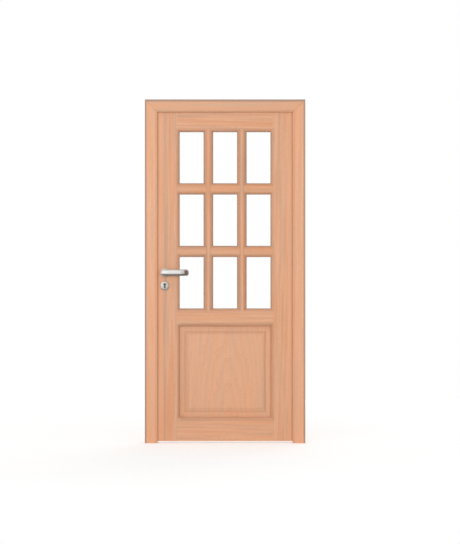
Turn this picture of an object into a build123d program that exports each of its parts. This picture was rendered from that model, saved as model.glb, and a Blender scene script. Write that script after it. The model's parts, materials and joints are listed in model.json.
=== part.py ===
# A half-glazed timber entrance door in its frame, closed.
# X runs along the wall, from the outer edge of the hinge jamb (zero) to the lock jamb (minus).
# Y runs into the building, with zero at mid-depth of the frame. Z is up from the floor. Millimetres.
import os

from build123d import *

os.makedirs("parts", exist_ok=True)

# Frame
FRAME_WIDTH = 980.0
FRAME_HEIGHT = 2100.0
FRAME_DEPTH = 68.0
FRAME_FACE = 78.0
FRAME_REBATE = 20.0
STOP_THICKNESS = 18.0
FRAME_ROUND = 8.0
ARRIS = 2.0
FIXING_RADIUS = 5.0
FIXING_END = 200.0
FIXING_MIDDLE = 550.0

# Leaf
SEAL_GAP = 5.0
REBATE_GAP = 8.0
FLOOR_GAP = 12.0
LIP_THICKNESS = 18.0
LIP_OVERLAP = 15.0
STILE_FACE = 133.0
TOP_RAIL_FACE = 117.0
MIDDLE_RAIL = 109.0
BOTTOM_RAIL = 146.0
PANEL_OPENING = 555.0
UPRIGHT_BAR = 57.0
LEVEL_BAR = 67.0
COLUMNS = 3
ROWS = 3

# Moulding, glass and beads
STICKING = 15.0
QUIRK = 2.0
NIB = 3.0
GLAZING_REBATE = 18.0
GLASS_SHEET = 4.0
GLASS_CAVITY = 16.0
GLASS_EDGE_GAP = 5.0
SPACER_INSET = 3.0
SPACER_WIDTH = 9.0
BEAD_SETBACK = 1.5
BEAD_SPLAY = 8.0

# Raised panel
PANEL_MARGIN = 29.0
PANEL_BEVEL = 2.0
PANEL_STEP_WIDTH = 10.0
PANEL_STEP = 6.0

# Seal
SEAL_STEM = 4.0
SEAL_DEPTH = 5.0
SEAL_CLEARANCE = 0.5

# Hinges
HINGE_END = 260.0
BARREL_RADIUS = 10.0
KNUCKLE_LENGTH = 50.0
KNUCKLE_GAP = 0.6
HINGE_CLEARANCE = 5.0
HINGE_PIN_RADIUS = 5.0
HINGE_PIN_LENGTH = 38.0
PIN_CLEARANCE = 0.05
STUD_RADIUS = 4.5
STUD_DEPTH = 35.0
STUD_FIT = 0.1

# Lock
LEVER_HEIGHT = 1042.0
BACKSET = 55.0
CYLINDER_DROP = 72.0
FOREND_LENGTH = 235.0
FOREND_WIDTH = 20.0
STRIKE_LENGTH = 190.0
STRIKE_WIDTH = 24.0
PLATE_THICKNESS = 3.0
LATCH_HEIGHT = 34.0
LATCH_THICKNESS = 12.0
LATCH_RISE = 10.0
LATCH_BEVEL = 2.4
LATCH_NOSE = 2.4
DEAD_BOLT_RISE = 24.0
BOLT_PROJECTION = 3.0
BOLT_LENGTH = 20.0
BOLT_CLEARANCE = 0.3
KEEPER_CLEARANCE = 2.0
KEEPER_DEPTH = 24.0
PLUG_RADIUS = 8.5
CYLINDER_TAIL = 19.5
CYLINDER_WIDTH = 10.0
CYLINDER_PROUD = 2.0
CYLINDER_FIT = 0.3
KEYWAY_WIDTH = 2.4
KEYWAY_HEIGHT = 9.0
KEYWAY_DEPTH = 8.0

# Lever furniture
ROSE_RADIUS = 27.5
ROSE_THICKNESS = 10.0
ROSE_CHAMFER = 3.0
NECK_RADIUS = 11.0
NECK_FIT = 0.1
NECK_CLEARANCE = 1.0
LEVER_STAND = 50.0
LEVER_STRAIGHT = 96.0
LEVER_BEND_RADIUS = 45.0
LEVER_BEND = 50.0
LEVER_WIDTH = 40.0
LEVER_THICKNESS = 17.0
LEVER_CHAMFER = 5.0
SPINDLE_SIDE = 8.0
SPINDLE_FIT = 0.1
SPINDLE_SOCKET = 20.0
SPINDLE_CLEARANCE = 5.3

# Depths through the wall
FRAME_FRONT = -FRAME_DEPTH / 2
FRAME_BACK = FRAME_DEPTH / 2
STOP_BACK = FRAME_FRONT + STOP_THICKNESS
LEAF_FRONT = STOP_BACK + SEAL_GAP
LIP_FRONT = FRAME_BACK + SEAL_GAP
LEAF_BACK = LIP_FRONT + LIP_THICKNESS
LEAF_THICKNESS = LEAF_BACK - LEAF_FRONT
LOCK_Y = (LEAF_FRONT + LIP_FRONT) / 2
GLASS_FRONT = LEAF_FRONT + QUIRK + STICKING + NIB
GLASS_BACK = GLASS_FRONT + 2 * GLASS_SHEET + GLASS_CAVITY
BEAD_BACK = LEAF_BACK - BEAD_SETBACK

# Distances in from the outer edge of the frame
REBATE_FLOOR = FRAME_FACE - FRAME_REBATE
LEAF_EDGE = REBATE_FLOOR + REBATE_GAP
LIP_EDGE = REBATE_FLOOR - LIP_OVERLAP
LIP_REACH = LEAF_EDGE - LIP_EDGE
STILE_SIGHT = FRAME_FACE + STILE_FACE
STILE_FLOOR = STILE_SIGHT - GLAZING_REBATE
TOP_SIGHT = FRAME_FACE + TOP_RAIL_FACE
SEAL_LINE = REBATE_FLOOR + FRAME_REBATE / 2
RAIL_LENGTH = FRAME_WIDTH - 2 * STILE_FLOOR

# Heights and the grid of panes
LEAF_TOP = FRAME_HEIGHT - LEAF_EDGE
LIP_TOP = FRAME_HEIGHT - LIP_EDGE
PANEL_BOTTOM = FLOOR_GAP + BOTTOM_RAIL
PANEL_TOP = PANEL_BOTTOM + PANEL_OPENING
GLASS_BOTTOM = PANEL_TOP + MIDDLE_RAIL
GLASS_TOP = FRAME_HEIGHT - TOP_SIGHT
OPENING_WIDTH = FRAME_WIDTH - 2 * STILE_SIGHT
PANE_WIDTH = (OPENING_WIDTH - (COLUMNS - 1) * UPRIGHT_BAR) / COLUMNS
PANE_HEIGHT = (GLASS_TOP - GLASS_BOTTOM - (ROWS - 1) * LEVEL_BAR) / ROWS
MIDDLE_X = -FRAME_WIDTH / 2
COLUMN_PITCH = PANE_WIDTH + UPRIGHT_BAR
ROW_PITCH = PANE_HEIGHT + LEVEL_BAR
GRID_Z = (GLASS_BOTTOM + GLASS_TOP) / 2
PANEL_Z = (PANEL_BOTTOM + PANEL_TOP) / 2

# Centre lines of the hinges and the lock
HINGE_HEIGHTS = (HINGE_END, FRAME_HEIGHT / 2, FRAME_HEIGHT - HINGE_END)
HINGE_X = -(LIP_EDGE - HINGE_CLEARANCE - BARREL_RADIUS)
HINGE_Y = FRAME_BACK + HINGE_CLEARANCE + BARREL_RADIUS
LEVER_X = -FRAME_WIDTH + LEAF_EDGE + BACKSET
CYLINDER_Z = LEVER_HEIGHT - CYLINDER_DROP
ESCUTCHEON_Z = CYLINDER_Z + (PLUG_RADIUS - CYLINDER_TAIL - CYLINDER_WIDTH / 2) / 2
LATCH_Z = LEVER_HEIGHT + LATCH_RISE
DEAD_BOLT_Z = CYLINDER_Z + DEAD_BOLT_RISE
BOLT_MIDDLE = (LATCH_Z + DEAD_BOLT_Z) / 2

# Planes
HINGE_SIDE = Plane((0, 0, 0), x_dir=(-1, 0, 0), z_dir=(0, 0, -1))
LOCK_SIDE = Plane((-FRAME_WIDTH, 0, 0))
HEAD_SIDE = Plane((-FRAME_WIDTH, 0, FRAME_HEIGHT), x_dir=(0, 0, -1), z_dir=(1, 0, 0))
HINGE_MITRE = Plane((0, 0, FRAME_HEIGHT), z_dir=(-1, 0, 1))
LOCK_MITRE = Plane((-FRAME_WIDTH, 0, FRAME_HEIGHT), z_dir=(1, 0, 1))
LEAF_MIDDLE = Plane.XZ.offset(-(LEAF_FRONT + LEAF_BACK) / 2)
LOCK_EDGE = Plane((-FRAME_WIDTH + LEAF_EDGE, LOCK_Y, BOLT_MIDDLE), x_dir=(0, 0, 1), z_dir=(-1, 0, 0))
KEEPER_FACE = Plane((-FRAME_WIDTH + REBATE_FLOOR, LOCK_Y, BOLT_MIDDLE), x_dir=(0, 0, 1), z_dir=(1, 0, 0))
UP = (0, 0, 1)
LOW = (Align.MIN, Align.MIN)


def save(builder, name):
    builder.part.label = name
    export_step(builder.part, f"parts/{name}.step")


def level(z):
    """Plane for a piece that runs across the leaf: local x runs down from height z."""
    return Plane((-FRAME_WIDTH + STILE_FLOOR, 0, z), x_dir=(0, 0, -1), z_dir=(1, 0, 0))


def outside(z):
    """Plane on the outside face of the leaf, on the centre line of the lock."""
    return Plane((LEVER_X, LEAF_FRONT, z), x_dir=(1, 0, 0), z_dir=(0, -1, 0))


def frame_section(plane):
    """Rebated section of the frame, from its outer edge inwards, with the groove for the seal."""
    with BuildSketch(plane) as section:
        with Locations((0, FRAME_FRONT)):
            Rectangle(FRAME_FACE, STOP_THICKNESS, align=LOW)
        with Locations((0, STOP_BACK)):
            Rectangle(REBATE_FLOOR, FRAME_BACK - STOP_BACK, align=LOW)
        fillet(section.vertices().sort_by_distance((FRAME_FACE, FRAME_FRONT))[0], FRAME_ROUND)
        fillet(section.vertices().sort_by_distance((0, FRAME_FRONT))[0], ARRIS)
        fillet(section.vertices().sort_by_distance((REBATE_FLOOR, FRAME_BACK))[0], ARRIS)
        with Locations((SEAL_LINE, STOP_BACK)):
            Rectangle(SEAL_STEM, SEAL_DEPTH, align=(Align.CENTER, Align.MAX), mode=Mode.SUBTRACT)
    return section.sketch


def seal_section(plane):
    """Bulb of the seal behind the stop, and its stem in the groove."""
    bulb = SEAL_GAP - SEAL_CLEARANCE
    with BuildSketch(plane) as section:
        with Locations((SEAL_LINE, STOP_BACK)):
            Circle(bulb)
            Rectangle(2 * bulb, bulb, align=(Align.CENTER, Align.MAX), mode=Mode.SUBTRACT)
            Rectangle(SEAL_STEM, SEAL_DEPTH, align=(Align.CENTER, Align.MAX))
    return section.sketch


def mould(sight, toward):
    """Quarter-round moulding and glazing rebate on the edge at `sight`; the glass lies `toward`."""
    side = Align.MAX if toward > 0 else Align.MIN
    with Locations((sight, LEAF_FRONT)):
        Rectangle(STICKING, QUIRK + STICKING, align=(side, Align.MIN), mode=Mode.SUBTRACT)
    with Locations((sight - toward * STICKING, LEAF_FRONT + QUIRK + STICKING)):
        Circle(STICKING)
    with Locations((sight, GLASS_FRONT)):
        Rectangle(GLAZING_REBATE, LEAF_BACK - GLASS_FRONT, align=(side, Align.MIN), mode=Mode.SUBTRACT)


def lipped_section(plane, sight):
    """Section of a stile or the top rail, with the lip that closes over the frame."""
    with BuildSketch(plane) as section:
        with Locations((LEAF_EDGE, LEAF_FRONT)):
            Rectangle(sight - LEAF_EDGE, LIP_FRONT - LEAF_FRONT, align=LOW)
        with Locations((LIP_EDGE, LIP_FRONT)):
            Rectangle(sight - LIP_EDGE, LIP_THICKNESS, align=LOW)
        fillet(section.vertices().sort_by_distance((LIP_EDGE, LEAF_BACK))[0], 2 * ARRIS)
        mould(sight, 1)
    return section.sketch


def bar_section(plane, width):
    """Section of a piece moulded and rebated on both edges."""
    with BuildSketch(plane) as section:
        with Locations((0, LEAF_FRONT)):
            Rectangle(width, LEAF_THICKNESS, align=(Align.CENTER, Align.MIN))
        mould(width / 2, 1)
        mould(-width / 2, -1)
    return section.sketch


def cylinder_section(plane, fit):
    """Keyhole-shaped outline of the lock cylinder, grown by the fit."""
    with BuildSketch(plane) as section:
        Circle(PLUG_RADIUS + fit)
        with Locations((0, -CYLINDER_TAIL / 2)):
            Rectangle(CYLINDER_WIDTH + 2 * fit, CYLINDER_TAIL)
        with Locations((0, -CYLINDER_TAIL)):
            Circle(CYLINDER_WIDTH / 2 + fit)
    return section.sketch


def bolt_outlines(clearance, mode=Mode.ADD):
    """Latch and dead bolt outlines, about the middle of the lock, grown by the clearance."""
    with Locations((LATCH_Z - BOLT_MIDDLE, 0), (DEAD_BOLT_Z - BOLT_MIDDLE, 0)):
        Rectangle(LATCH_HEIGHT + 2 * clearance, LATCH_THICKNESS + 2 * clearance, mode=mode)


def let_in(plane, length, width, clearance, depth):
    """Recess for a round-ended lock plate, with the pockets for the bolts behind it."""
    with BuildSketch(plane) as plate:
        SlotOverall(length, width)
    extrude(plate.sketch, amount=-PLATE_THICKNESS, mode=Mode.SUBTRACT)
    with BuildSketch(plane) as pockets:
        bolt_outlines(clearance)
    extrude(pockets.sketch, amount=-depth, mode=Mode.SUBTRACT)


def drill_fixings(plane):
    """Frame fixing holes through a jamb, in from its rebate floor."""
    spans = (FRAME_HEIGHT - 2 * FIXING_END, FIXING_MIDDLE)
    heights = [side * span / 2 for span in spans for side in (-1, 1)]
    with Locations(plane):
        with Locations(*[(0, height) for height in heights]):
            Hole(FIXING_RADIUS, depth=REBATE_FLOOR)


# Frame: two jambs and a head, mitred at the top corners
with BuildPart() as hinge_jamb:
    extrude(frame_section(HINGE_SIDE), amount=FRAME_HEIGHT, dir=UP)
    split(bisect_by=HINGE_MITRE, keep=Keep.BOTTOM)
    drill_fixings(Plane((-REBATE_FLOOR, 0, FRAME_HEIGHT / 2), (0, -1, 0), (-1, 0, 0)))
    with Locations(Plane((HINGE_X, FRAME_BACK, 0), x_dir=(-1, 0, 0), z_dir=(0, 1, 0))):
        with Locations(*[(0, hinge_z - KNUCKLE_LENGTH / 2) for hinge_z in HINGE_HEIGHTS]):
            Hole(STUD_RADIUS + STUD_FIT, depth=STUD_DEPTH + STUD_FIT)
save(hinge_jamb, "hinge_jamb")

with BuildPart() as lock_jamb:
    extrude(frame_section(LOCK_SIDE), amount=FRAME_HEIGHT, dir=UP)
    split(bisect_by=LOCK_MITRE, keep=Keep.BOTTOM)
    drill_fixings(Plane((-FRAME_WIDTH + REBATE_FLOOR, 0, FRAME_HEIGHT / 2), (0, 1, 0), (1, 0, 0)))
    let_in(KEEPER_FACE, STRIKE_LENGTH, STRIKE_WIDTH, KEEPER_CLEARANCE, KEEPER_DEPTH)
save(lock_jamb, "lock_jamb")

with BuildPart() as frame_head:
    extrude(frame_section(HEAD_SIDE), amount=FRAME_WIDTH)
    split(bisect_by=HINGE_MITRE, keep=Keep.TOP)
    split(bisect_by=LOCK_MITRE, keep=Keep.TOP)
save(frame_head, "frame_head")

# Rubber seal in the groove of the stop, round three sides and welded at the mitres
with BuildPart() as hinge_seal:
    extrude(seal_section(HINGE_SIDE), amount=FRAME_HEIGHT, dir=UP)
    split(bisect_by=HINGE_MITRE, keep=Keep.BOTTOM)

with BuildPart() as lock_seal:
    extrude(seal_section(LOCK_SIDE), amount=FRAME_HEIGHT, dir=UP)
    split(bisect_by=LOCK_MITRE, keep=Keep.BOTTOM)

with BuildPart() as frame_seal:
    extrude(seal_section(HEAD_SIDE), amount=FRAME_WIDTH)
    split(bisect_by=HINGE_MITRE, keep=Keep.TOP)
    split(bisect_by=LOCK_MITRE, keep=Keep.TOP)
    add(hinge_seal.part)
    add(lock_seal.part)
save(frame_seal, "frame_seal")

# Strike plate let into the lock jamb
with BuildPart() as strike_plate:
    with BuildSketch(KEEPER_FACE):
        SlotOverall(STRIKE_LENGTH, STRIKE_WIDTH)
        bolt_outlines(KEEPER_CLEARANCE, Mode.SUBTRACT)
    extrude(amount=-PLATE_THICKNESS)
save(strike_plate, "strike_plate")

# Drill-in hinges: the lower knuckle carries the pin and screws into the jamb, the upper into the lip
HINGE_FOOT = Plane((HINGE_X, HINGE_Y, 0))
HINGE_SPOTS = [(0, 0, hinge_z) for hinge_z in HINGE_HEIGHTS]
with BuildPart() as lower_knuckle:
    with BuildSketch(HINGE_FOOT.offset(-KNUCKLE_LENGTH)):
        Circle(BARREL_RADIUS)
    extrude(amount=KNUCKLE_LENGTH - KNUCKLE_GAP / 2)
    chamfer(lower_knuckle.faces().sort_by(Axis.Z)[0].edges(), ARRIS)
    with BuildSketch(HINGE_FOOT.offset(-KNUCKLE_GAP / 2)):
        Circle(HINGE_PIN_RADIUS)
    extrude(amount=HINGE_PIN_LENGTH)
    with BuildSketch(Plane((HINGE_X, HINGE_Y, -KNUCKLE_LENGTH / 2), UP, (0, -1, 0))):
        Circle(STUD_RADIUS)
    extrude(amount=HINGE_Y - FRAME_BACK + STUD_DEPTH)

with BuildPart() as upper_knuckle:
    with BuildSketch(HINGE_FOOT.offset(KNUCKLE_GAP / 2)):
        Circle(BARREL_RADIUS)
    extrude(amount=KNUCKLE_LENGTH - KNUCKLE_GAP / 2)
    chamfer(upper_knuckle.faces().sort_by(Axis.Z)[-1].edges(), ARRIS)
    with BuildSketch(Plane((HINGE_X, HINGE_Y, KNUCKLE_LENGTH / 2), UP, (-1, 0, 0))):
        Circle(STUD_RADIUS)
    extrude(amount=BARREL_RADIUS + HINGE_CLEARANCE + STUD_DEPTH)
    with BuildSketch(HINGE_FOOT.offset(KNUCKLE_GAP / 2)):
        Circle(HINGE_PIN_RADIUS + PIN_CLEARANCE)
    extrude(amount=HINGE_PIN_LENGTH, mode=Mode.SUBTRACT)

for name, knuckle in (("hinge_knuckles_lower", lower_knuckle), ("hinge_knuckles_upper", upper_knuckle)):
    with BuildPart() as knuckles:
        with Locations(*HINGE_SPOTS):
            add(knuckle.part)
    save(knuckles, name)

# Leaf: stiles run through, the rails are scribed over their moulding
with BuildPart() as lock_stile:
    extrude(lipped_section(LOCK_SIDE.offset(FLOOR_GAP), STILE_SIGHT), amount=LIP_TOP - FLOOR_GAP)
    with Locations((-FRAME_WIDTH + LIP_EDGE, LIP_FRONT, LEAF_TOP)):
        Box(STILE_SIGHT, FRAME_DEPTH, LIP_REACH, align=(Align.MIN, Align.MAX, Align.MIN), mode=Mode.SUBTRACT)
    let_in(LOCK_EDGE, FOREND_LENGTH, FOREND_WIDTH, BOLT_CLEARANCE, BOLT_LENGTH)
    with Locations(outside(LEVER_HEIGHT)):
        Hole(SPINDLE_SIDE / 2**0.5 + SPINDLE_CLEARANCE, depth=LEAF_THICKNESS)
    extrude(cylinder_section(outside(CYLINDER_Z), CYLINDER_FIT), amount=-LEAF_THICKNESS, mode=Mode.SUBTRACT)
save(lock_stile, "lock_stile")

with BuildPart() as hinge_stile:
    extrude(lipped_section(HINGE_SIDE.offset(-FLOOR_GAP), STILE_SIGHT), amount=LIP_TOP - FLOOR_GAP, dir=UP)
    with Locations((-LIP_EDGE, LIP_FRONT, LEAF_TOP)):
        Box(STILE_SIGHT, FRAME_DEPTH, LIP_REACH, align=(Align.MAX, Align.MAX, Align.MIN), mode=Mode.SUBTRACT)
    with Locations(Plane((-LIP_EDGE, HINGE_Y, 0), x_dir=(0, 1, 0), z_dir=(1, 0, 0))):
        with Locations(*[(0, hinge_z + KNUCKLE_LENGTH / 2) for hinge_z in HINGE_HEIGHTS]):
            Hole(STUD_RADIUS + STUD_FIT, depth=STUD_DEPTH + STUD_FIT)
save(hinge_stile, "hinge_stile")

with BuildPart() as top_rail:
    extrude(lipped_section(level(FRAME_HEIGHT), TOP_SIGHT), amount=RAIL_LENGTH)
    add(lock_stile.part, mode=Mode.SUBTRACT)
    add(hinge_stile.part, mode=Mode.SUBTRACT)
save(top_rail, "top_rail")

with BuildPart() as middle_rail:
    extrude(bar_section(level((PANEL_TOP + GLASS_BOTTOM) / 2), MIDDLE_RAIL), amount=RAIL_LENGTH)
    add(lock_stile.part, mode=Mode.SUBTRACT)
    add(hinge_stile.part, mode=Mode.SUBTRACT)
save(middle_rail, "middle_rail")

with BuildPart() as bottom_rail:
    with BuildSketch(level(FLOOR_GAP)):
        with Locations((0, LEAF_FRONT)):
            Rectangle(BOTTOM_RAIL, LEAF_THICKNESS, align=(Align.MAX, Align.MIN))
        mould(-BOTTOM_RAIL, -1)
    extrude(amount=RAIL_LENGTH)
    add(lock_stile.part, mode=Mode.SUBTRACT)
    add(hinge_stile.part, mode=Mode.SUBTRACT)
save(bottom_rail, "bottom_rail")

# Glazing bars: the upright ones run through, the level ones are scribed between them
UPRIGHT_LENGTH = GLASS_TOP - GLASS_BOTTOM + 2 * GLAZING_REBATE
uprights = {}
for side, name in ((-1, "glazing_bar_left"), (1, "glazing_bar_right")):
    bar_plane = Plane((MIDDLE_X + side * COLUMN_PITCH / 2, 0, GLASS_BOTTOM - GLAZING_REBATE))
    with BuildPart() as upright_bar:
        extrude(bar_section(bar_plane, UPRIGHT_BAR), amount=UPRIGHT_LENGTH)
        add(top_rail.part, mode=Mode.SUBTRACT)
        add(middle_rail.part, mode=Mode.SUBTRACT)
    save(upright_bar, name)
    uprights[name] = upright_bar.part

for side, name in ((1, "glazing_bar_upper"), (-1, "glazing_bar_lower")):
    with BuildPart() as level_bar:
        extrude(bar_section(level(GRID_Z + side * ROW_PITCH / 2), LEVEL_BAR), amount=RAIL_LENGTH)
        add(lock_stile.part, mode=Mode.SUBTRACT)
        add(hinge_stile.part, mode=Mode.SUBTRACT)
        for upright in uprights.values():
            add(upright, mode=Mode.SUBTRACT)
    save(level_bar, name)

# Double glazing: two sheets a pane, held apart by a metal spacer round the edge
GLASS_COVER = GLAZING_REBATE - GLASS_EDGE_GAP
SHEET_WIDTH = PANE_WIDTH + 2 * GLASS_COVER
SHEET_HEIGHT = PANE_HEIGHT + 2 * GLASS_COVER
PANE_GRID = Plane((MIDDLE_X, 0, GRID_Z), x_dir=(1, 0, 0), z_dir=(0, -1, 0))
for name, sheet_y in (("outer_panes", GLASS_FRONT), ("inner_panes", GLASS_BACK - GLASS_SHEET)):
    with BuildPart() as panes:
        with BuildSketch(PANE_GRID.offset(-sheet_y)):
            with GridLocations(COLUMN_PITCH, ROW_PITCH, COLUMNS, ROWS):
                Rectangle(SHEET_WIDTH, SHEET_HEIGHT)
        extrude(amount=-GLASS_SHEET)
    save(panes, name)

with BuildPart() as pane_spacers:
    with BuildSketch(PANE_GRID.offset(-GLASS_FRONT - GLASS_SHEET)):
        with GridLocations(COLUMN_PITCH, ROW_PITCH, COLUMNS, ROWS):
            Rectangle(SHEET_WIDTH - 2 * SPACER_INSET, SHEET_HEIGHT - 2 * SPACER_INSET)
            Rectangle(
                SHEET_WIDTH - 2 * SPACER_INSET - 2 * SPACER_WIDTH,
                SHEET_HEIGHT - 2 * SPACER_INSET - 2 * SPACER_WIDTH,
                mode=Mode.SUBTRACT,
            )
    extrude(amount=-GLASS_CAVITY)
save(pane_spacers, "pane_spacers")


def bead(sight):
    """Bead along the rebate of an opening `sight` long, mitred at both ends, on its own centre line."""
    length = sight + 2 * GLAZING_REBATE
    with BuildPart() as stick:
        with BuildSketch(Plane.XY.offset(-length / 2)) as section:
            with Locations((0, GLASS_BACK)):
                Rectangle(GLAZING_REBATE, BEAD_BACK - GLASS_BACK, align=LOW)
            chamfer(section.vertices().sort_by_distance((GLAZING_REBATE, BEAD_BACK))[0], BEAD_SPLAY)
        extrude(amount=length)
        split(bisect_by=Plane((0, 0, length / 2), z_dir=(1, 0, 1)), keep=Keep.BOTTOM)
        split(bisect_by=Plane((0, 0, -length / 2), z_dir=(1, 0, -1)), keep=Keep.BOTTOM)
    return stick.part


def bead_spots(turn, reach, centre_z, columns, rows):
    """Where a pair of facing beads lies, `reach` either side of the middle of each opening in the grid."""
    spots = []
    for column in range(columns):
        for row in range(rows):
            x = MIDDLE_X + (column - (columns - 1) / 2) * COLUMN_PITCH
            z = centre_z + (row - (rows - 1) / 2) * ROW_PITCH
            for half_turn in (0, 180):
                opening = Location((x, 0, z), (0, turn + half_turn, 0))
                spots.append(opening * Location((-reach - GLAZING_REBATE, 0, 0)))
    return spots


# Beads on the inside face: upright and level ones round each pane, and those round the panel
for name, sight, turn, reach, centre_z, columns, rows in (
    ("glazing_beads_upright", PANE_HEIGHT, 0, PANE_WIDTH / 2, GRID_Z, COLUMNS, ROWS),
    ("glazing_beads_level", PANE_WIDTH, 90, PANE_HEIGHT / 2, GRID_Z, COLUMNS, ROWS),
    ("panel_beads_upright", PANEL_OPENING, 0, OPENING_WIDTH / 2, PANEL_Z, 1, 1),
    ("panel_beads_level", OPENING_WIDTH, 90, PANEL_OPENING / 2, PANEL_Z, 1, 1),
):
    stick = bead(sight)
    with BuildPart() as bead_set:
        with Locations(*bead_spots(turn, reach, centre_z, columns, rows)):
            add(stick)
    save(bead_set, name)

# Raised panel, fielded on both faces
PANEL_FACE = Plane((MIDDLE_X, GLASS_FRONT, PANEL_Z), x_dir=(1, 0, 0), z_dir=(0, -1, 0))
PANEL_THICKNESS = GLASS_BACK - GLASS_FRONT
with BuildPart() as raised_panel:
    with BuildSketch(PANEL_FACE):
        Rectangle(OPENING_WIDTH + 2 * GLASS_COVER, PANEL_OPENING + 2 * GLASS_COVER)
    extrude(amount=-PANEL_THICKNESS)
    field_steps = (
        (0, 0, PANEL_MARGIN, PANEL_BEVEL),
        (PANEL_MARGIN, PANEL_BEVEL, PANEL_MARGIN + PANEL_STEP_WIDTH, PANEL_BEVEL + PANEL_STEP),
    )
    for low_inset, low, high_inset, high in field_steps:
        for inset, rise in ((low_inset, low), (high_inset, high)):
            with BuildSketch(PANEL_FACE.offset(rise)):
                Rectangle(OPENING_WIDTH - 2 * inset, PANEL_OPENING - 2 * inset)
        loft(ruled=True)
    mirror(about=Plane.XZ.offset(-(GLASS_FRONT + GLASS_BACK) / 2))
save(raised_panel, "raised_panel")

# Lock: forend let into the edge of the leaf, both bolts drawn in, and the cylinder
with BuildPart() as lock_forend:
    with BuildSketch(LOCK_EDGE):
        SlotOverall(FOREND_LENGTH, FOREND_WIDTH)
        bolt_outlines(BOLT_CLEARANCE, Mode.SUBTRACT)
    extrude(amount=-PLATE_THICKNESS)
save(lock_forend, "lock_forend")

for name, bolt_z in (("latch_bolt", LATCH_Z), ("dead_bolt", DEAD_BOLT_Z)):
    with BuildPart() as bolt:
        with BuildSketch(LOCK_EDGE.offset(BOLT_PROJECTION)):
            with Locations((bolt_z - BOLT_MIDDLE, 0)):
                Rectangle(LATCH_HEIGHT, LATCH_THICKNESS)
        extrude(amount=-BOLT_PROJECTION - BOLT_LENGTH)
        if name == "latch_bolt":
            nose = bolt.faces().sort_by(Axis.X)[0].edges().sort_by(Axis.Y)[-1]
            chamfer(nose, LATCH_BEVEL, LATCH_THICKNESS - LATCH_NOSE)
    save(bolt, name)

CYLINDER_END = ROSE_THICKNESS + CYLINDER_PROUD
CYLINDER_LENGTH = LEAF_THICKNESS + 2 * CYLINDER_END
with BuildPart() as lock_cylinder:
    extrude(cylinder_section(outside(CYLINDER_Z).offset(CYLINDER_END), 0), amount=-CYLINDER_LENGTH)
    with BuildSketch(outside(CYLINDER_Z).offset(CYLINDER_END)):
        Rectangle(KEYWAY_WIDTH, KEYWAY_HEIGHT)
    extrude(amount=-KEYWAY_DEPTH, mode=Mode.SUBTRACT)
    with BuildSketch(outside(CYLINDER_Z).offset(CYLINDER_END - CYLINDER_LENGTH)):
        Rectangle(KEYWAY_WIDTH, KEYWAY_HEIGHT)
    extrude(amount=KEYWAY_DEPTH, mode=Mode.SUBTRACT)
save(lock_cylinder, "lock_cylinder")

# Roses and escutcheons, outside and mirrored inside
with BuildPart() as roses:
    with BuildSketch(outside(LEVER_HEIGHT)):
        Circle(ROSE_RADIUS)
    extrude(amount=ROSE_THICKNESS)
    chamfer(roses.faces().sort_by(Axis.Y)[0].edges(), ROSE_CHAMFER)
    with BuildSketch(outside(LEVER_HEIGHT)):
        Circle(NECK_RADIUS + NECK_FIT)
    extrude(amount=ROSE_THICKNESS, mode=Mode.SUBTRACT)
    mirror(about=LEAF_MIDDLE)
save(roses, "roses")

with BuildPart() as escutcheons:
    with BuildSketch(outside(ESCUTCHEON_Z)):
        Circle(ROSE_RADIUS)
    extrude(amount=ROSE_THICKNESS)
    chamfer(escutcheons.faces().sort_by(Axis.Y)[0].edges(), ROSE_CHAMFER)
    extrude(cylinder_section(outside(CYLINDER_Z), CYLINDER_FIT), amount=ROSE_THICKNESS, mode=Mode.SUBTRACT)
    mirror(about=LEAF_MIDDLE)
save(escutcheons, "escutcheons")


def lever_outline(section):
    """Outline of the lever's bar, its thickness along x and its width along y, with chamfered edges."""
    Rectangle(LEVER_THICKNESS, LEVER_WIDTH)
    chamfer(section.vertices(), LEVER_CHAMFER)


# Lever: round neck, and a flat bar with rounded ends that turns back to the door at its tip
BAR_START = Plane(outside(LEVER_HEIGHT).offset(LEVER_STAND).origin, x_dir=(0, 1, 0), z_dir=(1, 0, 0))
BEND_START = BAR_START.offset(LEVER_STRAIGHT)
BEND_CENTRE = BEND_START.origin + Vector(0, LEVER_BEND_RADIUS, 0)
with BuildPart() as lever_outside:
    with BuildSketch(outside(LEVER_HEIGHT).offset(NECK_CLEARANCE)):
        Circle(NECK_RADIUS)
    extrude(amount=LEVER_STAND - NECK_CLEARANCE)
    with BuildSketch(BAR_START) as bar_outline:
        lever_outline(bar_outline)
    extrude(amount=LEVER_STRAIGHT)
    with BuildSketch(BEND_START) as bend_outline:
        lever_outline(bend_outline)
    revolve(axis=Axis(BEND_CENTRE, UP), revolution_arc=LEVER_BEND)
    with BuildLine():
        bend_line = CenterArc(BEND_CENTRE, LEVER_BEND_RADIUS, -90, LEVER_BEND)
    for spot, heading in ((BAR_START.origin, Vector(-1, 0, 0)), (bend_line @ 1, bend_line % 1)):
        bar_end = Plane(spot, x_dir=heading.cross(Vector(UP)), z_dir=heading)
        with BuildSketch(bar_end) as end_outline:
            lever_outline(end_outline)
            Rectangle(LEVER_THICKNESS, LEVER_WIDTH, align=(Align.CENTER, Align.MAX), mode=Mode.SUBTRACT)
        revolve(axis=Axis(spot, bar_end.x_dir), revolution_arc=180)
    with BuildSketch(outside(LEVER_HEIGHT).offset(NECK_CLEARANCE)):
        Rectangle(SPINDLE_SIDE + 2 * SPINDLE_FIT, SPINDLE_SIDE + 2 * SPINDLE_FIT)
    extrude(amount=SPINDLE_SOCKET, mode=Mode.SUBTRACT)
save(lever_outside, "lever_outside")

with BuildPart() as lever_inside:
    add(lever_outside.part)
    mirror(about=LEAF_MIDDLE, mode=Mode.REPLACE)
save(lever_inside, "lever_inside")

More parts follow.
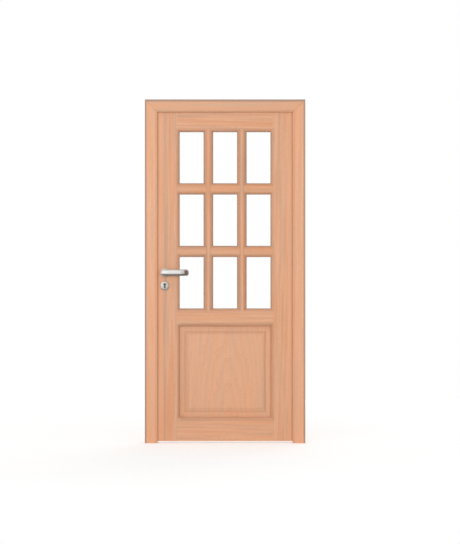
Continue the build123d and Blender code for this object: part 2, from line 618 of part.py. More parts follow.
# Square spindle between the two levers
SPINDLE_END = NECK_CLEARANCE + SPINDLE_SOCKET
with BuildPart() as lever_spindle:
    with BuildSketch(outside(LEVER_HEIGHT).offset(SPINDLE_END)):
        Rectangle(SPINDLE_SIDE, SPINDLE_SIDE)
    extrude(amount=-LEAF_THICKNESS - 2 * SPINDLE_END)
save(lever_spindle, "lever_spindle")
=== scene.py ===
import json
import math

import bmesh
import bpy
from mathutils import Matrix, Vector


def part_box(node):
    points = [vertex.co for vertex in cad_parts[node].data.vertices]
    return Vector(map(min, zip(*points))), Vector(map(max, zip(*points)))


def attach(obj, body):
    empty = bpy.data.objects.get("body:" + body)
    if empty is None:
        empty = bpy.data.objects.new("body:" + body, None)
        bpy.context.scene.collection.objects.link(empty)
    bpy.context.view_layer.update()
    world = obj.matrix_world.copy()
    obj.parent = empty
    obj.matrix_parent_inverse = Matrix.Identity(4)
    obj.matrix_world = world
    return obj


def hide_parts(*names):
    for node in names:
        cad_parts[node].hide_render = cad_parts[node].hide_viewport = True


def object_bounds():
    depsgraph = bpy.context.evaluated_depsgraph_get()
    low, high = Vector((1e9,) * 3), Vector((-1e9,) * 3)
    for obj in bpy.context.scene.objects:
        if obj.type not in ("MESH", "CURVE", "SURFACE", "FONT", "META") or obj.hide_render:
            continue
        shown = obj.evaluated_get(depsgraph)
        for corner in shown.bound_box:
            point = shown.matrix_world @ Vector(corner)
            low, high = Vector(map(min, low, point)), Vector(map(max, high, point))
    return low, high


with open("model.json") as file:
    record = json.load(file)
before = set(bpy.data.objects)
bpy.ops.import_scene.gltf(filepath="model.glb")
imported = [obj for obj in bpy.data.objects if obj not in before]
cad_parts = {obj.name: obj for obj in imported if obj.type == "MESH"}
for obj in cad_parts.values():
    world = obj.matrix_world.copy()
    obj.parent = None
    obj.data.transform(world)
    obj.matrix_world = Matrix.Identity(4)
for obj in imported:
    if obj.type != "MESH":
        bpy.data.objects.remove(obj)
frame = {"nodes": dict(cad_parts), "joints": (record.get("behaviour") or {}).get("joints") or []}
nodes = frame["nodes"]
cad_box = [list(corner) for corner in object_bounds()]

# Frame jambs and head
# Planed alder, rebated for the leaf, rounded along the inner edge, glued at the mitres, fixed to the wall.
# The clear satin varnish leaves the wood pale and pinkish, with a soft sheen along the round.
MM = 0.001


def linear(colour):
    """Linear RGBA of an sRGB hex colour."""
    channels = [int(colour[i:i + 2], 16) / 255 for i in (1, 3, 5)]
    return [c / 12.92 if c <= 0.04045 else ((c + 0.055) / 1.055) ** 2.4 for c in channels] + [1.0]


def add(tree, kind, settings, links=()):
    """Adds a node: settings by attribute or input, links as pairs of input and output socket."""
    node = tree.nodes.new("ShaderNode" + kind)
    for key, value in settings.items():
        if isinstance(key, str) and hasattr(node, key):
            setattr(node, key, value)
        else:
            node.inputs[key].default_value = value
    for key, socket in links:
        tree.links.new(socket, node.inputs[key])
    return node


def new_material(name):
    """Empty material with its output node; returns the material, its tree and the surface socket."""
    material = bpy.data.materials.new(name)
    material.use_nodes = True
    tree = material.node_tree
    tree.nodes.clear()
    return material, tree, tree.nodes.new("ShaderNodeOutputMaterial").inputs["Surface"]


def stain_and_shade_share(tree, place, outline, measure, line, weights, spread, share):
    """Share of a colour mark, used both for real stains and for painted shade and light: full within the first
    distance of the spread from its line, gone at the second.

    The line follows an outline, given by its low and high X and Z: (how far outside it, Y).
    As a measure, MAXIMUM goes round the outline and SUBTRACT along its mitres.
    A weight of 0 lets the stain run on in that direction.
    """
    left, right, bottom, top = outline
    middle = ((left + right) / 2, 0, (bottom + top) / 2)
    half = ((right - left) / 2, 0, (top - bottom) / 2)
    off = add(tree, "VectorMath", {"operation": "SUBTRACT", 1: middle}, [(0, place.outputs["Object"])])
    reach = add(tree, "VectorMath", {"operation": "ABSOLUTE"}, [(0, off.outputs[0])])
    beyond = add(tree, "VectorMath", {"operation": "SUBTRACT", 1: half}, [(0, reach.outputs[0])])
    sides = add(tree, "SeparateXYZ", {}, [(0, beyond.outputs[0])])
    outside = add(tree, "Math", {"operation": measure}, [(0, sides.outputs["X"]), (1, sides.outputs["Z"])])
    depth = add(tree, "SeparateXYZ", {}, [(0, off.outputs[0])])
    spot = add(tree, "CombineXYZ", {}, [("X", outside.outputs[0]), ("Y", depth.outputs["Y"])])
    shift = [-weight * value for weight, value in zip(weights, line)] + [0]
    from_line = add(
        tree, "VectorMath", {"operation": "MULTIPLY_ADD", 1: [*weights, 0], 2: shift}, [(0, spot.outputs[0])]
    )
    distance = add(tree, "VectorMath", {"operation": "LENGTH"}, [(0, from_line.outputs[0])])
    return add(
        tree, "MapRange",
        {"interpolation_type": "SMOOTHSTEP", "From Min": spread[1], "From Max": spread[0], "To Max": share},
        [("Value", distance.outputs["Value"])],
    )


def varnished_alder(node_name, along, heart, tone, contrast, stains_and_shade=(), lean=3):
    """Flat-sawn alder under satin varnish: growth rings about a heart line, tone streaks, fibres and pores.

    The eye sees broad soft streaks between pinkish, orange and greyish wood, and faint flames where the
    saw met the rings flat. Real rings lie 3 mm apart; here 26 mm, as coarse as they need to be to show.
    The heart is given in mm from the middle of the board, and leans by some degrees. Over the wood go the given
    marks: real glue lines and streaks, and painted shade and light.
    """
    ring, wander, streak, strand, fibre, pore = (size * MM for size in (26, 130, 28, 11, 2.2, 1.1))
    sway, jut = 90 * MM, 30 * MM
    long_streak, long_strand, long_fibre, long_pore = 0.045, 0.03, 0.012, 0.06
    apart = (heart[0] * 0.37, heart[1] * 0.23, 0)
    low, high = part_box(node_name)
    middle = (low + high) / 2
    material, tree, surface = new_material("varnished_alder_" + node_name)
    place = add(tree, "TexCoord", {})
    turn = (0, 0, 0) if along == "Z" else (0, math.radians(-90), 0)
    centre = middle if along == "Z" else Vector((-middle.z, middle.y, middle.x))
    board = add(
        tree, "Mapping", {"Location": -centre, "Rotation": turn}, [("Vector", place.outputs["Object"])]
    )
    heart_line = add(
        tree, "Mapping",
        {"Location": (-heart[0] * MM, -heart[1] * MM, 0), "Rotation": (math.radians(lean), 0, 0)},
        [("Vector", board.outputs[0])],
    )
    section = add(tree, "Mapping", {"Scale": (1, 1, 0)}, [("Vector", heart_line.outputs[0])])
    reach = add(tree, "VectorMath", {"operation": "LENGTH"}, [(0, section.outputs[0])])
    own_grain = add(
        tree, "Mapping",
        {"Location": apart, "Scale": (1, 1, long_streak)},
        [("Vector", board.outputs[0])],
    )
    waver = add(tree, "TexNoise", {"Scale": 1 / wander, "Detail": 2.0}, [("Vector", own_grain.outputs[0])])
    ring_place = add(
        tree, "Math", {"operation": "MULTIPLY_ADD", 1: sway},
        [(0, waver.outputs["Fac"]), (2, reach.outputs["Value"])],
    )
    jag = add(tree, "TexNoise", {"Scale": 1 / streak, "Detail": 4.0}, [("Vector", board.outputs[0])])
    jag_place = add(
        tree, "Math", {"operation": "MULTIPLY_ADD", 1: jut},
        [(0, jag.outputs["Fac"]), (2, ring_place.outputs[0])],
    )
    ring_count = add(tree, "Math", {"operation": "DIVIDE", 1: ring}, [(0, jag_place.outputs[0])])
    ring_phase = add(tree, "Math", {"operation": "FRACT"}, [(0, ring_count.outputs[0])])
    late_wood = add(tree, "Math", {"operation": "POWER", 1: 2.2}, [(0, ring_phase.outputs[0])])
    late_share = add(tree, "Math", {"operation": "MULTIPLY", 1: 0.28}, [(0, late_wood.outputs[0])])
    streaks = add(
        tree, "TexNoise", {"Scale": 1 / streak, "Detail": 1.0}, [("Vector", own_grain.outputs[0])]
    )
    orange_share = add(
        tree, "MapRange", {"From Min": 0.5, "From Max": 0.7, "To Max": 0.9 * contrast},
        [("Value", streaks.outputs["Fac"])],
    )
    grey_share = add(
        tree, "MapRange", {"From Min": 0.48, "From Max": 0.3, "To Max": 0.9 * contrast},
        [("Value", streaks.outputs["Fac"])],
    )
    strand_place = add(tree, "Mapping", {"Scale": (1, 1, long_strand)}, [("Vector", board.outputs[0])])
    strands = add(
        tree, "TexNoise", {"Scale": 1 / strand, "Detail": 2.0}, [("Vector", strand_place.outputs[0])]
    )
    strand_share = add(
        tree, "MapRange", {"From Min": 0.45, "From Max": 0.65, "To Max": 0.5 * contrast},
        [("Value", strands.outputs["Fac"])],
    )
    fibre_place = add(tree, "Mapping", {"Scale": (1, 1, long_fibre)}, [("Vector", board.outputs[0])])
    fibres = add(tree, "TexNoise", {"Scale": 1 / fibre, "Detail": 3.0}, [("Vector", fibre_place.outputs[0])])
    fibre_share = add(
        tree, "MapRange", {"From Min": 0.35, "From Max": 0.7, "To Max": 0.2},
        [("Value", fibres.outputs["Fac"])],
    )
    pore_place = add(tree, "Mapping", {"Scale": (1, 1, long_pore)}, [("Vector", board.outputs[0])])
    pore_noise = add(
        tree, "TexNoise", {"Scale": 1 / pore, "Detail": 0.0}, [("Vector", pore_place.outputs[0])]
    )
    pore_share = add(
        tree, "MapRange", {"From Min": 0.68, "From Max": 0.78, "To Max": 0.4},
        [("Value", pore_noise.outputs["Fac"])],
    )
    layers = [
        (orange_share, "#EAA577"), (grey_share, "#D2A98B"), (late_share, "#CB8F6B"),
        (strand_share, "#D49D79"), (fibre_share, "#CE9A78"), (pore_share, "#A67050"),
    ]
    for colour, *mark in stains_and_shade:
        layers.append((stain_and_shade_share(tree, place, *mark), colour))
    mixed = None
    for share, colour in layers:
        links = [(0, share.outputs[0])]
        if mixed:
            links.append((6, mixed.outputs[2]))
        mixed = add(tree, "Mix", {"data_type": "RGBA", 6: linear(tone), 7: linear(colour)}, links)
    sheen = add(
        tree, "MapRange", {"From Min": 0.3, "From Max": 0.7, "To Min": 0.36, "To Max": 0.48},
        [("Value", fibres.outputs["Fac"])],
    )
    relief = add(tree, "Bump", {"Strength": 0.25, "Distance": 0.15 * MM}, [("Height", fibres.outputs["Fac"])])
    varnish = add(
        tree, "BsdfPrincipled", {"IOR": 1.5, "Coat Weight": 0.15, "Coat Roughness": 0.25},
        [("Base Color", mixed.outputs[2]), ("Roughness", sheen.outputs[0]), ("Normal", relief.outputs[0])],
    )
    tree.links.new(varnish.outputs[0], surface)
    return material


def finish_node(node_name, material):
    """Gives a node of the frame its finish."""
    nodes[node_name].data.materials.clear()
    nodes[node_name].data.materials.append(material)


FRAME_FACE = 78 * MM
BELOW, ABOVE = -1.0, 3.0
frame_low, frame_high = cad_box
frame_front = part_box("frame_head")[0].y
outer_edge = (frame_low[0], frame_high[0], BELOW, frame_high[2])
inner_edge = (frame_low[0] + FRAME_FACE, frame_high[0] - FRAME_FACE, BELOW, frame_high[2] - FRAME_FACE)
# Painted shade: a dark grey-brown outline along the outer front edge of the frame, wider on the head.
SHADED_ARRIS, SHADED_TOP = [
    ("#8C786E", outer_edge, "MAXIMUM", (0, frame_front), (1, 1), spread, 0.68)
    for spread in ((7 * MM, 14 * MM), (9 * MM, 18 * MM))
]
# Painted shade on the round of the frame's inner edge, next to the sunken leaf.
SHADED_ROUND = ("#9C6744", inner_edge, "MAXIMUM", (9 * MM, 0), (1, 0), (3 * MM, 10 * MM), 0.18)
GLUED_MITRE = ("#B8713F", outer_edge, "SUBTRACT", (0, 0), (1, 0), (0.5 * MM, 6 * MM), 0.35)
for node_name, along, heart, tone, contrast, arris in (
    ("hinge_jamb", "Z", (130, 70), "#EAAD86", 0.6, SHADED_ARRIS),
    ("lock_jamb", "Z", (-150, 60), "#E7AD87", 0.6, SHADED_ARRIS),
    ("frame_head", "X", (120, 80), "#DEA884", 0.9, SHADED_TOP),
):
    # Painted shade on the round and along the outer arris; the glue line at the mitres is the wood's own mark.
    stains_and_shade = (SHADED_ROUND, GLUED_MITRE, arris)
    finish_node(node_name, varnished_alder(node_name, along, heart, tone, contrast, stains_and_shade))

# Seal in the stop
# A hollow bulb of brown synthetic rubber, extruded in one length, its stem pressed into a groove.
# The surface is matt, with the faint cross ripple of extruded rubber.
material, tree, surface = new_material("extruded_brown_rubber")
place = add(tree, "TexCoord", {})
ripple = add(
    tree, "TexNoise", {"Scale": 1 / (3 * MM), "Detail": 2.0}, [("Vector", place.outputs["Object"])]
)
shade = add(
    tree, "Mix", {"data_type": "RGBA", 6: linear("#3B2A21"), 7: linear("#4A372C")},
    [(0, ripple.outputs["Fac"])],
)
relief = add(tree, "Bump", {"Strength": 0.3, "Distance": 0.2 * MM}, [("Height", ripple.outputs["Fac"])])
rubber = add(
    tree, "BsdfPrincipled", {"Roughness": 0.62, "IOR": 1.5},
    [("Base Color", shade.outputs[2]), ("Normal", relief.outputs[0])],
)
tree.links.new(rubber.outputs[0], surface)
finish_node("frame_seal", material)

# Strike plate in the lock jamb
# Pressed stainless steel, brushed lengthwise, let into the rebate flush with the timber.
# Two countersunk cross-head screws hold it at its round ends.
def brushed_metal(name, colour, roughness, along, line):
    """Metal brushed along one axis: soft stretched highlights between fine bright lines."""
    material, tree, surface = new_material(name)
    place = add(tree, "TexCoord", {})
    stretch = [0.02 if axis == along else 1 for axis in "XYZ"]
    lines = add(tree, "Mapping", {"Scale": stretch}, [("Vector", place.outputs["Object"])])
    grit = add(tree, "TexNoise", {"Scale": 1 / line, "Detail": 2.0}, [("Vector", lines.outputs[0])])
    bright = add(
        tree, "MapRange", {"From Min": 0.4, "From Max": 0.8, "To Max": 0.5},
        [("Value", grit.outputs["Fac"])],
    )
    shade = add(
        tree, "Mix", {"data_type": "RGBA", 6: linear(colour), 7: linear("#F2F0EC")},
        [(0, bright.outputs[0])],
    )
    gloss = add(
        tree, "MapRange", {"To Min": roughness * 0.85, "To Max": roughness * 1.2},
        [("Value", grit.outputs["Fac"])],
    )
    relief = add(tree, "Bump", {"Strength": 0.12, "Distance": 0.05 * MM}, [("Height", grit.outputs["Fac"])])
    metal = add(
        tree, "BsdfPrincipled", {"Metallic": 1.0},
        [("Base Color", shade.outputs[2]), ("Roughness", gloss.outputs[0]), ("Normal", relief.outputs[0])],
    )
    tree.links.new(metal.outputs[0], surface)
    return material


def skin_loops(work, loops, joined=False):
    """Skins a row of equal loops of points: closed by end faces, or joined into a ring."""
    rows = [[work.verts.new(point) for point in loop] for loop in loops]
    pairs = list(zip(rows, rows[1:]))
    if joined:
        pairs.append((rows[-1], rows[0]))
    for near, far in pairs:
        for i in range(len(near)):
            j = (i + 1) % len(near)
            work.faces.new((near[i], near[j], far[j], far[i]))
    if not joined:
        work.faces.new(rows[0])
        work.faces.new(rows[-1])


def piece(name, work, material, body, replaced=()):
    """Makes an object of the mesh work, riding on a body, and hides the nodes it replaces."""
    bmesh.ops.recalc_face_normals(work, faces=work.faces)
    mesh = bpy.data.meshes.new(name)
    work.to_mesh(mesh)
    work.free()
    for polygon in mesh.polygons:
        polygon.use_smooth = True
    mesh.set_sharp_from_angle(angle=math.radians(38))
    mesh.materials.append(material)
    made = bpy.data.objects.new(name, mesh)
    bpy.context.scene.collection.objects.link(made)
    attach(made, body)
    if replaced:
        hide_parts(*replaced)


def screw_head(work, spot, out, radius):
    """Countersunk screw head with a cross recess, its face in the plane of the spot, facing out."""
    arm, slot_half, recess = 0.62 * radius, 0.2 * radius, 0.5 * radius
    edge, cone, shank = 0.08 * radius, 0.9 * radius, 0.35 * radius
    draft, count = 0.8, 48
    side = out.orthogonal().normalized()
    up = out.cross(side)

    def loop(depth, shape):
        points = []
        for i in range(count):
            angle = 2 * math.pi * i / count
            reach = shape(abs(math.cos(angle)), abs(math.sin(angle)))
            points.append(spot - out * depth + (side * math.cos(angle) + up * math.sin(angle)) * reach)
        return points

    def cross(cosine, sine):
        return min(arm / max(cosine, sine), slot_half / max(min(cosine, sine), 1e-6))

    skin_loops(work, [
        loop(cone, lambda c, s: shank),
        loop(edge, lambda c, s: radius),
        loop(-edge, lambda c, s: radius - edge),
        loop(-edge, cross),
        loop(recess, lambda c, s: draft * cross(c, s)),
    ])


STEEL = "#B9B7B3"
SCREW_RADIUS = 4 * MM
SCREW_INSET = 12 * MM
strike_steel = brushed_metal("brushed_steel_strike", STEEL, 0.34, "Z", 0.5 * MM)
finish_node("strike_plate", strike_steel)
low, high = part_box("strike_plate")
work = bmesh.new()
for height in (low.z + SCREW_INSET, high.z - SCREW_INSET):
    screw_head(work, Vector((high.x, (low.y + high.y) / 2, height)), Vector((1, 0, 0)), SCREW_RADIUS)
piece("strike_screws", work, strike_steel, "frame")

# Hinges
# Nickel-plated steel barrels with a turned pin, screwed into jamb and lip by their studs.
# A domed cap closes each end of the barrels. The plating is bright, with a trace of turning marks.
def circle(centre, axis, radius, count=40):
    """Loop of points round an axis."""
    side = axis.orthogonal().normalized()
    up = axis.cross(side)
    angles = [2 * math.pi * i / count for i in range(count)]
    return [centre + (side * math.cos(a) + up * math.sin(a)) * radius for a in angles]


def turned(work, spot, axis, profile):
    """Skins a turned form: pairs of distance along the axis and radius."""
    skin_loops(work, [circle(spot + axis * along, axis, radius) for along, radius in profile])


hinge_steel = brushed_metal("nickel_plated_steel", "#A9A7A2", 0.3, "X", 0.8 * MM)
BARREL = 10 * MM
BARREL_EDGE = 2 * MM
KNUCKLE = 50 * MM
CAP_RISE = 3.5 * MM
CAP_FOOT = 1 * MM
cap_radius = BARREL - BARREL_EDGE
cap_profile = [(-CAP_FOOT, cap_radius)]
for angle in (math.radians(15 * i) for i in range(6)):
    cap_profile.append((CAP_RISE * math.sin(angle), cap_radius * math.cos(angle)))
up = Vector((0, 0, 1))
hinge_axis = Vector(frame["joints"][0]["pos_m"])
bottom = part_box("hinge_knuckles_lower")[0].z + KNUCKLE
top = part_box("hinge_knuckles_upper")[1].z - KNUCKLE
for node_name, body, end in (("hinge_knuckles_lower", "frame", -1), ("hinge_knuckles_upper", "leaf", 1)):
    finish_node(node_name, hinge_steel)
    work = bmesh.new()
    for height in (bottom, (bottom + top) / 2, top):
        spot = Vector((hinge_axis.x, hinge_axis.y, height + end * KNUCKLE))
        turned(work, spot, up * end, cap_profile)
    piece(node_name + "_caps", work, hinge_steel, body)

# Leaf stiles and rails
# Alder boards with a quarter-round moulding and a glazing rebate, tenoned and scribed together.
# Painted shade lies in the mouldings and in lines beside them, so these look a little darker than the faces;
# painted light brightens the sides of the leaf next to the frame.
LEAF_TONE = "#EDB58F"
PAINTED_SHADE = "#9A6545"
SHADE_DEPTH = 6 * MM
SHADE_LINE = 13 * MM
QUIRK = 2 * MM
leaf_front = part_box("middle_rail")[0].y
stiles = (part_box("lock_stile")[1].x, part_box("hinge_stile")[0].x)
glass_edge = (*stiles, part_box("middle_rail")[1].z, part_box("top_rail")[0].z)
panel_edge = (*stiles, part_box("bottom_rail")[1].z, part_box("middle_rail")[0].z)
line_edge = (panel_edge[0] + 2 * SHADE_LINE, *panel_edge[1:])
leaf_sides = (inner_edge[0], inner_edge[1], BELOW, ABOVE)
lever_axis = (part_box("roses")[0].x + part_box("roses")[1].x) / 2
streak_line = (lever_axis, lever_axis, BELOW, ABOVE)
# Painted shade in the mouldings, by depth below the leaf's face, the same on every side.
MOULDING_SHADE = (
    PAINTED_SHADE, inner_edge, "MAXIMUM", (0, leaf_front + SHADE_DEPTH), (0, 1),
    (SHADE_DEPTH - QUIRK, 10 * MM), 0.24,
)
# Painted shade: a line beside the moulding round each opening, the panel's one moved in by 26 mm at the lock
# side.
GLASS_SHADE_LINE, PANEL_SHADE_LINE = [
    (PAINTED_SHADE, edge, "MAXIMUM", (SHADE_LINE, 0), (1, 0), (4 * MM, 13 * MM), share)
    for edge, share in ((glass_edge, 0.14), (line_edge, 0.22))
]
# Painted light: a paler orange band on the leaf, 20 to 36 mm wide, along both sides next to the frame.
LIT_LEAF_RIM = ("#F4B489", leaf_sides, "MAXIMUM", (0, 0), (1, 0), (20 * MM, 36 * MM), 0.55)
GREY_STREAK = ("#C49C84", streak_line, "MAXIMUM", (0, 0), (1, 0), (3 * MM, 10 * MM), 0.5)
leaf_painted_shade_and_light = (LIT_LEAF_RIM, MOULDING_SHADE, GLASS_SHADE_LINE, PANEL_SHADE_LINE)
for node_name, along, heart, contrast, stains_and_shade in (
    ("lock_stile", "Z", (-240, 70), 1.2, (GREY_STREAK, *leaf_painted_shade_and_light)),
    ("hinge_stile", "Z", (170, 95), 1.0, leaf_painted_shade_and_light),
    ("top_rail", "X", (190, 65), 0.9, leaf_painted_shade_and_light),
    ("middle_rail", "X", (-160, 70), 1.0, leaf_painted_shade_and_light),
    ("bottom_rail", "X", (210, 85), 0.7, leaf_painted_shade_and_light),
):
    finish_node(node_name, varnished_alder(node_name, along, heart, LEAF_TONE, contrast, stains_and_shade))

# Glazing bars
# The same alder, moulded and rebated on both edges; the level bars are scribed between the upright ones.
# Narrow straight-grained strips, so their streaks run nearly parallel.
BAR_CONTRAST = 1.2
BESIDE = (-3.0, 1.0)
for node_name, along, heart, tone, share in (
    ("glazing_bar_left", "Z", (270, 40), "#EAB28D", 0.3),
    ("glazing_bar_right", "Z", (-220, 75), "#EAB28D", 0.3),
    ("glazing_bar_upper", "X", (210, 40), "#EAB086", 0.12),
    ("glazing_bar_lower", "X", (-230, 75), "#E8AF87", 0.12),
):
    low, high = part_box(node_name)
    edge = (low.x, high.x, BELOW, ABOVE) if along == "Z" else (*BESIDE, low.z, high.z)
    # Painted shade: a dark line along each moulded edge of the bar, stronger on the upright bars than on the
    # level ones.
    bar_shade_line = (PAINTED_SHADE, edge, "MAXIMUM", (-SHADE_LINE, 0), (1, 0), (4 * MM, 12 * MM), share)
    stains_and_shade = (MOULDING_SHADE, bar_shade_line)
    finish_node(node_name, varnished_alder(node_name, along, heart, tone, BAR_CONTRAST, stains_and_shade))

# Raised panel
# One wide flat-sawn board with a bevelled margin and a raised field, loose in the rebate so that it can swell.
# The saw met the rings flat at mid-width, so flames stand there. Painted shade lies round its edge, on the bevel
# and at the step.
PANEL_TONE = "#DFA985"
PANEL_LEAN = 10
PANEL_STEP = 41 * MM
STEP_SHIFT = 6 * MM
MARGIN = 50 * MM
left, right, bottom, top = panel_edge
step_edge = (left + STEP_SHIFT, right, bottom + STEP_SHIFT, top)
bevel_edge = (left, right + MARGIN, bottom - MARGIN, top)
# Painted shade along the edge; on the bevel only by the left and top, as a painted shadow of stile and rail;
# along the step, set in 6 mm at the left and bottom.
panel_painted_shade = (
    (PAINTED_SHADE, panel_edge, "MAXIMUM", (0, 0), (1, 0), (2 * MM, 9 * MM), 0.12),
    (PAINTED_SHADE, bevel_edge, "MAXIMUM", (0, 0), (1, 0), (6 * MM, MARGIN), 0.18),
    (PAINTED_SHADE, step_edge, "MAXIMUM", (-PANEL_STEP, 0), (1, 0), (5 * MM, 14 * MM), 0.15),
)
panel_wood = varnished_alder("raised_panel", "Z", (15, 60), PANEL_TONE, 0.5, panel_painted_shade, PANEL_LEAN)
finish_node("raised_panel", panel_wood)

# Double glazing
# Two sheets of clear float glass a pane, held apart by a perforated aluminium spacer and sealed at the edge.
# The glass is colourless, with a barely visible rolled wave.
material, tree, surface = new_material("float_glass")
place = add(tree, "TexCoord", {})
wave = add(
    tree, "TexNoise", {"Scale": 1 / (140 * MM), "Detail": 0.0}, [("Vector", place.outputs["Object"])]
)
relief = add(tree, "Bump", {"Strength": 0.02, "Distance": 0.1 * MM}, [("Height", wave.outputs["Fac"])])
glass = add(
    tree, "BsdfPrincipled",
    {"Base Color": linear("#FFFFFF"), "Roughness": 0.0, "IOR": 1.52, "Transmission Weight": 1.0},
    [("Normal", relief.outputs[0])],
)
tree.links.new(glass.outputs[0], surface)
finish_node("outer_panes", material)
finish_node("inner_panes", material)

material, tree, surface = new_material("perforated_aluminium")
place = add(tree, "TexCoord", {})
holes = add(
    tree, "TexVoronoi", {"Scale": 1 / (4 * MM), "Randomness": 0.0}, [("Vector", place.outputs["Object"])]
)
rim = add(tree, "MapRange", {"From Min": 0.12, "From Max": 0.2}, [("Value", holes.outputs["Distance"])])
shade = add(
    tree, "Mix", {"data_type": "RGBA", 6: linear("#3C3C3C"), 7: linear("#C4C5C6")}, [(0, rim.outputs[0])]
)
relief = add(tree, "Bump", {"Strength": 0.4, "Distance": 0.3 * MM}, [("Height", rim.outputs[0])])
aluminium = add(
    tree, "BsdfPrincipled", {"Metallic": 1.0, "Roughness": 0.38},
    [("Base Color", shade.outputs[2]), ("Normal", relief.outputs[0])],
)
tree.links.new(aluminium.outputs[0], surface)
finish_node("pane_spacers", material)

# Sealant round the panes
# A tooled bead of grey-brown glazing compound between the moulding and the outer sheet, all round each pane.
# It skins over to a soft matt surface, a shade darker than the wood.
columns = [
    (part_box("lock_stile")[1].x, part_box("glazing_bar_left")[0].x),
    (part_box("glazing_bar_left")[1].x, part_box("glazing_bar_right")[0].x),
    (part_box("glazing_bar_right")[1].x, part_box("hinge_stile")[0].x),
]
rows = [
    (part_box("middle_rail")[1].z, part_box("glazing_bar_lower")[0].z),
    (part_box("glazing_bar_lower")[1].z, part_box("glazing_bar_upper")[0].z),
    (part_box("glazing_bar_upper")[1].z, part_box("top_rail")[0].z),
]
SEALANT_WIDTH = 1 * MM
SEALANT_RISE = 2 * MM
material, tree, surface = new_material("glazing_compound")
place = add(tree, "TexCoord", {})
grain = add(
    tree, "TexNoise", {"Scale": 1 / (6 * MM), "Detail": 3.0}, [("Vector", place.outputs["Object"])]
)
shade = add(
    tree, "Mix", {"data_type": "RGBA", 6: linear("#8C7468"), 7: linear("#A08578")},
    [(0, grain.outputs["Fac"])],
)
relief = add(tree, "Bump", {"Strength": 0.3, "Distance": 0.3 * MM}, [("Height", grain.outputs["Fac"])])
compound = add(
    tree, "BsdfPrincipled", {"Roughness": 0.55},
    [("Base Color", shade.outputs[2]), ("Normal", relief.outputs[0])],
)
tree.links.new(compound.outputs[0], surface)
hollow = [
    (0, 0), (0, -SEALANT_RISE), (0.3 * SEALANT_WIDTH, -0.5 * SEALANT_RISE),
    (0.6 * SEALANT_WIDTH, -0.2 * SEALANT_RISE), (SEALANT_WIDTH, 0),
]
glass_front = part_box("outer_panes")[0].y
work = bmesh.new()
for left, right in columns:
    for bottom, top in rows:
        loops = []
        for x, z, to_x, to_z in (
            (left, bottom, 1, 1), (right, bottom, -1, 1), (right, top, -1, -1), (left, top, 1, -1),
        ):
            loops.append([Vector((x + to_x * i, glass_front + y, z + to_z * i)) for i, y in hollow])
        skin_loops(work, loops, joined=True)
piece("glazing_sealant", work, material, "leaf")

# Glazing and panel beads
# Splayed alder beads on the inside, mitred at the corners and held by brass pins.
# They are cut from the same boards, so the streaks run along each bead.
for node_name, along, heart in (
    ("glazing_beads_upright", "Z", (160, 60)), ("glazing_beads_level", "X", (150, 70)),
    ("panel_beads_upright", "Z", (180, 50)), ("panel_beads_level", "X", (-170, 65)),
):
    finish_node(node_name, varnished_alder(node_name, along, heart, LEAF_TONE, 1.0))

material, tree, surface = new_material("drawn_brass")
place = add(tree, "TexCoord", {})
tarnish = add(
    tree, "TexNoise", {"Scale": 1 / (1.5 * MM), "Detail": 2.0}, [("Vector", place.outputs["Object"])]
)
shade = add(
    tree, "Mix", {"data_type": "RGBA", 6: linear("#8E6B38"), 7: linear("#B98F4E")},
    [(0, tarnish.outputs["Fac"])],
)
brass = add(tree, "BsdfPrincipled", {"Metallic": 1.0, "Roughness": 0.4}, [("Base Color", shade.outputs[2])])
tree.links.new(brass.outputs[0], surface)
PIN_RADIUS = 1.2 * MM
PIN_RISE = 0.4 * MM
PIN_SETBACK = 13 * MM
PIN_END = 45 * MM
PIN_SIDES = 10
pin_profile = [(-PIN_RISE, PIN_RADIUS), (0.5 * PIN_RISE, PIN_RADIUS), (PIN_RISE, 0.6 * PIN_RADIUS)]
bead_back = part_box("glazing_beads_upright")[1].y
openings = [(*column, *row) for column in columns for row in rows] + [panel_edge]
inward = Vector((0, 1, 0))
work = bmesh.new()
for left, right, bottom, top in openings:
    spots = []
    for x in (left - PIN_SETBACK, right + PIN_SETBACK):
        spots += [(x, z) for z in (bottom + PIN_END, (bottom + top) / 2, top - PIN_END)]
    for z in (bottom - PIN_SETBACK, top + PIN_SETBACK):
        spots += [(x, z) for x in (left + PIN_END, right - PIN_END)]
    for x, z in spots:
        skin_loops(work, [
            circle(Vector((x, bead_back + along, z)), inward, radius, PIN_SIDES)
            for along, radius in pin_profile
        ])
piece("bead_pins", work, material, "leaf")

# Lock in the edge of the leaf
# A brushed stainless forend screwed into the stile, with the latch and the dead bolt drawn in.
# The bolts are plated steel, polished by use on the latch's slope.
forend_steel = brushed_metal("brushed_steel_forend", STEEL, 0.34, "Z", 0.5 * MM)
finish_node("lock_forend", forend_steel)
bolt_steel = brushed_metal("plated_bolt_steel", "#C9C6BF", 0.22, "X", 0.6 * MM)
finish_node("latch_bolt", bolt_steel)
finish_node("dead_bolt", bolt_steel)
low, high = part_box("lock_forend")
work = bmesh.new()
for height in (low.z + SCREW_INSET, high.z - SCREW_INSET):
    screw_head(work, Vector((low.x, (low.y + high.y) / 2, height)), Vector((-1, 0, 0)), SCREW_RADIUS)
piece("forend_screws", work, forend_steel, "leaf")

# Key cylinder
# A brass cylinder through the stile, with a turning plug and a keyway at each end. It is coloured near black all
# over, as painted shade of the recessed keyway, so the keyhole stands out in the bright escutcheon.
finish_node("lock_cylinder", brushed_metal("keyway_shade_brass", "#40332F", 0.4, "Y", 0.5 * MM))

